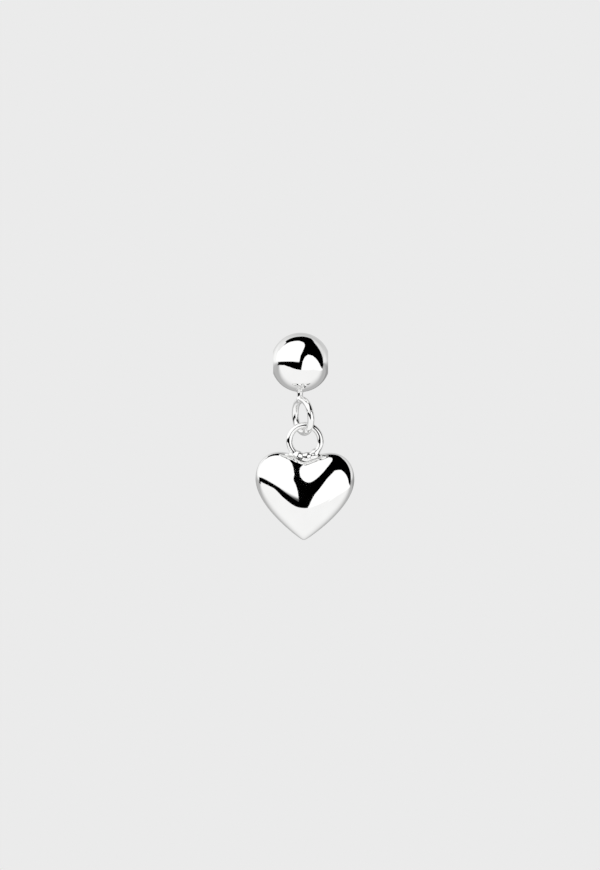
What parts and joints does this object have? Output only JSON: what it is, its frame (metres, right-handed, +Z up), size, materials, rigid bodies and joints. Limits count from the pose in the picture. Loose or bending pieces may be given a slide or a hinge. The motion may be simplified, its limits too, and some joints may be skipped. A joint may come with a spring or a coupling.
{
  "type": "heart charm on a drilled bead",
  "caption": "Puffed heart pendant on a wire ring, linked to a small drilled ball bead that threads on a wire, thin chain or hoop.",
  "frame": {"origin": "centre of the ball bead, on the axis of its bore", "axes": "+Z up, +X along the bore to the viewer's right, -Y out of the front of the heart"},
  "size_m": [0.01, 0.006, 0.021],
  "materials": {
    "bead_silver": "mirror-polished sterling silver with faint handling marks",
    "heart_silver": "mirror-polished sterling silver, a little softer in the cleft and at the solder"
  },
  "bodies": {
    "bead": {"bead": "bead_silver"},
    "heart": {"heart": "heart_silver"}
  },
  "joints": [
    {"name": "heart_swing", "type": "hinge", "parent": "bead", "child": "heart", "pos_m": [0.00044, 0, -0.00637], "axis": [1, 0, 0], "range_deg": [-90, 90]}
  ]
}
